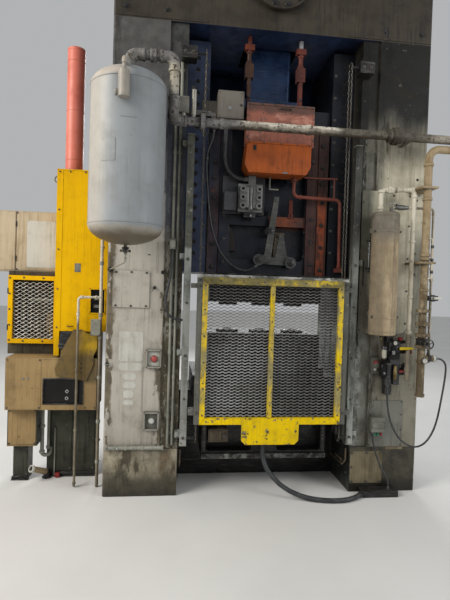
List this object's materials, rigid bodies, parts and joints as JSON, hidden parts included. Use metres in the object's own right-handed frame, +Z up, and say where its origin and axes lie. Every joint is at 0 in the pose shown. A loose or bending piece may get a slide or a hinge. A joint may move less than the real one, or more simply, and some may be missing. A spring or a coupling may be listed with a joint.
{
  "type": "cold forging press",
  "caption": "Mechanical cold forging press with cast uprights, slide and dies behind a rising mesh guard gate, air tanks and pipework, and a feeder unit at its side",
  "frame": {"origin": "on the floor, under the middle of the bed", "axes": "+X to the right of a person facing the gate, +Y into the press, +Z up"},
  "size_m": [5.045, 2.591, 6.505],
  "materials": {
    "beige_paint": "dirty beige machine paint",
    "bright_alloy": "cast aluminium valve bodies",
    "cream_paint": "cream machine paint",
    "dark_iron": "oily dark cast iron",
    "galvanised": "dull galvanised steel",
    "grey_box": "beige-grey enclosure paint",
    "hose_rubber": "black rubber hose",
    "machined_steel": "ground tool steel, oiled",
    "mesh_steel": "expanded steel mesh",
    "orange_paint": "worn orange machine paint",
    "pipe_paint": "dusty grey pipe paint",
    "press_paint": "worn off-white grey machine paint, grimy",
    "receiver_paint": "stained cream paint",
    "red_paint": "faded red paint",
    "riser_paint": "brown-grey pipe paint",
    "tank_paint": "pale grey tank paint",
    "yellow_paint": "worn safety yellow paint"
  },
  "bodies": {
    "press_frame": {"access_cover": "press_paint", "air_hose": "hose_rubber", "air_service_unit": "dark_iron", "base_channel": "galvanised", "bed": "dark_iron", "bolster": "dark_iron", "box_cable": "hose_rubber", "control_box": "grey_box", "crown": "press_paint", "drive_motor": "dark_iron", "feeder_body": "dark_iron", "feeder_cabinet": "cream_paint", "feeder_casing": "yellow_paint", "feeder_chute": "dark_iron", "feeder_console": "beige_paint", "feeder_cylinder": "red_paint", "feeder_guard_frame": "yellow_paint", "feeder_guard_mesh": "mesh_steel", "feeder_pedestals": "beige_paint", "feeder_pipes": "pipe_paint", "floor_hose": "hose_rubber", "flywheel_guard": "press_paint", "gate_chains": "galvanised", "gate_posts": "galvanised", "gate_sheaves": "dark_iron", "header_pipe": "pipe_paint", "hood_links": "orange_paint", "hood_lower": "orange_paint", "hood_pipe": "orange_paint", "hood_upper": "orange_paint", "left_conduits": "galvanised", "left_upright": "press_paint", "lower_die_holder": "machined_steel", "lower_dies": "machined_steel", "post_hose": "hose_rubber", "receiver_heads": "receiver_paint", "receiver_pipes": "pipe_paint", "receiver_shell": "receiver_paint", "relief_valve": "galvanised", "right_upright": "press_paint", "riser_pipe": "riser_paint", "slide_gibs": "dark_iron", "surge_pipe": "pipe_paint", "surge_tank_heads": "tank_paint", "surge_tank_shell": "tank_paint", "tank_brackets": "galvanised", "tie_rod_nuts": "dark_iron", "valve_block": "bright_alloy", "valve_hose": "hose_rubber", "wiring_boxes": "grey_box"},
    "slide_body": {"slide": "dark_iron", "slide_hose": "hose_rubber", "slide_strips": "orange_paint", "upper_die_holder": "machined_steel", "upper_dies": "machined_steel", "connecting_rod": "dark_iron", "ejector_lever": "dark_iron"},
    "gate_body": {"gate_frame": "yellow_paint", "gate_mesh": "mesh_steel", "gate_angle": "galvanised"}
  },
  "joints": [
    {"name": "slide_stroke", "type": "slide", "parent": "press_frame", "child": "slide_body", "axis": [0, 0, 1], "range_m": [-0.265, 0]},
    {"name": "gate_lift", "type": "slide", "parent": "press_frame", "child": "gate_body", "axis": [0, 0, 1], "range_m": [0, 1.35]}
  ]
}
